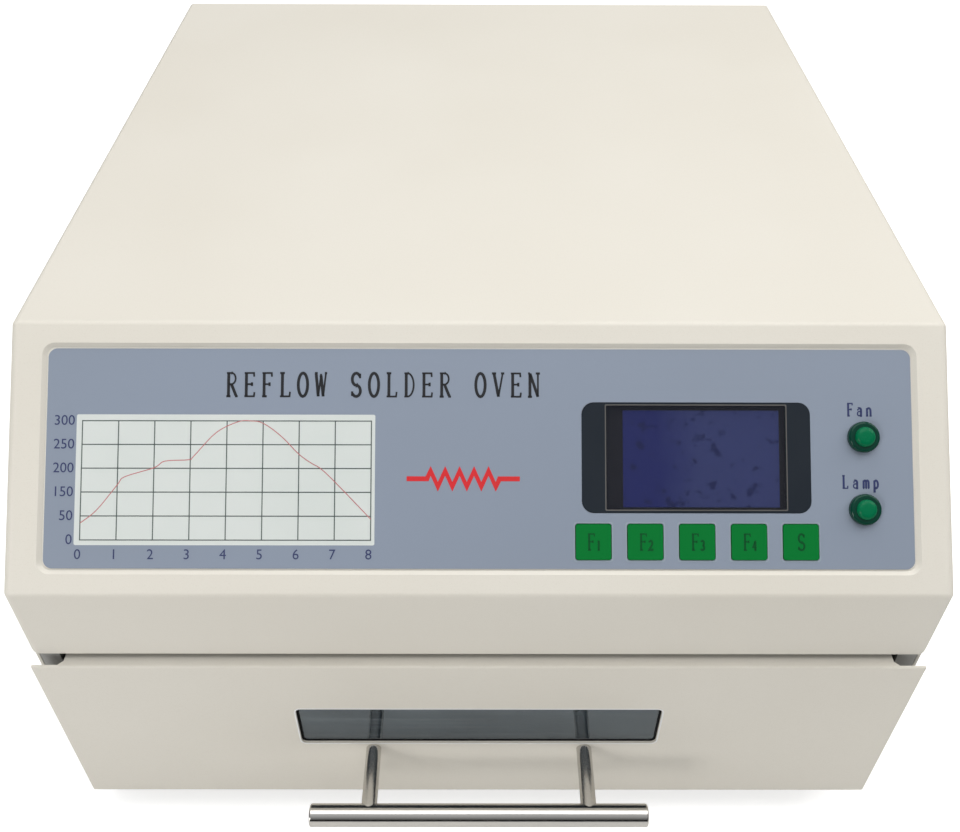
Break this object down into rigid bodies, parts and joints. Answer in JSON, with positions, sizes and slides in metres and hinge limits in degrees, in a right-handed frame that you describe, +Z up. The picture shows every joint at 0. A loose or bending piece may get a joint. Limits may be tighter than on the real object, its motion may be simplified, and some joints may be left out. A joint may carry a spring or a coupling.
{
  "type": "reflow oven",
  "caption": "Bench reflow oven: folded metal case, sloping control panel with display and keys, and a slide-out drawer with a window under quartz heaters.",
  "frame": {"origin": "on the bench under the middle of the oven's box, drawer closed and handle included", "axes": "+X to the right seen from the front, +Y from the drawer to the back, +Z up"},
  "size_m": [0.3744, 0.4572, 0.2374],
  "materials": {
    "powder_coat": "fine textured cream powder coat",
    "grey_coat": "satin grey paint",
    "overlay_film": "printed membrane",
    "window_tint": "tinted window",
    "display_metal": "black bezel",
    "display_glass": "blue display",
    "circuit_board": "solder mask",
    "key_green": "satin green",
    "lamp_green": "clear green",
    "bright_zinc": "bright zinc",
    "runner_steel": "cold rolled, zinc plated",
    "ball_steel": "polished",
    "handle_metal": "brushed bar",
    "oven_glass": "heat resistant pane",
    "chamber_steel": "stainless sheet",
    "mirror_sheet": "polished",
    "rack_wire": "bright wire",
    "fibre_blanket": "ceramic fibre felt",
    "quartz": "clear tube",
    "heating_wire": "oxidised wire",
    "steatite": "unglazed",
    "probe_steel": "sheathed",
    "black_plastic": "black moulding",
    "rocker_plastic": "black rocker",
    "pin_brass": "plated",
    "fuse_glass": "glass tube",
    "guard_wire": "bright wire",
    "foot_rubber": "black rubber",
    "core_steel": "laminated core, varnished",
    "sink_aluminium": "black anodised",
    "terminal_plastic": "green moulding"
  },
  "bodies": {
    "root": {"base_tray": "grey_coat", "board_screws": "bright_zinc", "board_standoffs": "bright_zinc", "casing_screws": "bright_zinc", "chamber_shell": "chamber_steel", "control_board": "circuit_board", "control_overlay": "overlay_film", "display_bezel": "display_metal", "display_board": "circuit_board", "display_glass": "display_glass", "display_window": "window_tint", "electronics_shelf": "grey_coat", "fan_frame": "black_plastic", "fan_guard": "guard_wire", "fan_lamp": "lamp_green", "heat_sink": "sink_aluminium", "heater_caps": "steatite", "heater_elements": "heating_wire", "heater_lamp": "lamp_green", "hood": "powder_coat", "inlet_pins": "pin_brass", "inlet_socket": "black_plastic", "insulation_blanket": "fibre_blanket", "key_switches": "black_plastic", "lamp_nuts": "bright_zinc", "power_board": "circuit_board", "quartz_tubes": "quartz", "rear_panel": "grey_coat", "reflector": "mirror_sheet", "rubber_feet": "foot_rubber", "runner_left_outer": "runner_steel", "runner_right_outer": "runner_steel", "switch_housing": "black_plastic", "terminal_block": "terminal_plastic", "thermocouples": "probe_steel", "transformer": "core_steel"},
    "drawer": {"drawer_front": "powder_coat", "drawer_liner": "chamber_steel", "window_glass": "oven_glass", "window_clamp": "chamber_steel", "handle_bar": "handle_metal", "handle_posts": "handle_metal", "handle_screws": "bright_zinc", "drawer_tray": "chamber_steel", "board_rack": "rack_wire", "runner_left_inner": "runner_steel", "runner_right_inner": "runner_steel"},
    "runner_middles": {"runner_left_middle": "runner_steel", "runner_right_middle": "runner_steel"},
    "outer_balls": {"runner_balls_outer": "ball_steel"},
    "inner_balls": {"runner_balls_inner": "ball_steel"},
    "rocker": {"switch_rocker": "rocker_plastic"},
    "rotor": {"fan_rotor": "black_plastic"},
    "fuse_holder": {"fuse_drawer": "black_plastic", "fuse": "fuse_glass"},
    "key_1": {"key_1": "key_green"},
    "key_2": {"key_2": "key_green"},
    "key_3": {"key_3": "key_green"},
    "key_4": {"key_4": "key_green"},
    "key_start": {"key_start": "key_green"}
  },
  "joints": [
    {"name": "drawer_slide", "type": "slide", "parent": "root", "child": "drawer", "axis": [0, -1, 0], "range_m": [0, 0.3]},
    {"name": "runner_middle_slide", "type": "slide", "parent": "root", "child": "runner_middles", "axis": [0, -1, 0], "range_m": [0, 0.15]},
    {"name": "outer_balls_slide", "type": "slide", "parent": "root", "child": "outer_balls", "axis": [0, -1, 0], "range_m": [0, 0.075]},
    {"name": "inner_balls_slide", "type": "slide", "parent": "root", "child": "inner_balls", "axis": [0, -1, 0], "range_m": [0, 0.225]},
    {"name": "switch_rock", "type": "hinge", "parent": "root", "child": "rocker", "pos_m": [0.112, 0.2216, 0.128], "axis": [1, 0, 0], "range_deg": [-20, 0]},
    {"name": "fan_spin", "type": "hinge", "parent": "root", "child": "rotor", "pos_m": [-0.095, 0.21091, 0.112], "axis": [0, 1, 0], "continuous": true},
    {"name": "fuse_slide", "type": "slide", "parent": "root", "child": "fuse_holder", "axis": [0, 1, 0], "range_m": [0, 0.014]},
    {"name": "key_1_press", "type": "slide", "parent": "root", "child": "key_1", "axis": [0, 0.6934, -0.7205], "range_m": [0, 0.0004], "stiffness_N_per_m": 2500},
    {"name": "key_2_press", "type": "slide", "parent": "root", "child": "key_2", "axis": [0, 0.6934, -0.7205], "range_m": [0, 0.0004], "stiffness_N_per_m": 2500},
    {"name": "key_3_press", "type": "slide", "parent": "root", "child": "key_3", "axis": [0, 0.6934, -0.7205], "range_m": [0, 0.0004], "stiffness_N_per_m": 2500},
    {"name": "key_4_press", "type": "slide", "parent": "root", "child": "key_4", "axis": [0, 0.6934, -0.7205], "range_m": [0, 0.0004], "stiffness_N_per_m": 2500},
    {"name": "key_start_press", "type": "slide", "parent": "root", "child": "key_start", "axis": [0, 0.6934, -0.7205], "range_m": [0, 0.0004], "stiffness_N_per_m": 2500}
  ],
  "couplings": [
    {"joint": "runner_middle_slide", "follows": "drawer_slide", "ratio": 0.5},
    {"joint": "outer_balls_slide", "follows": "drawer_slide", "ratio": 0.25},
    {"joint": "inner_balls_slide", "follows": "drawer_slide", "ratio": 0.75}
  ]
}
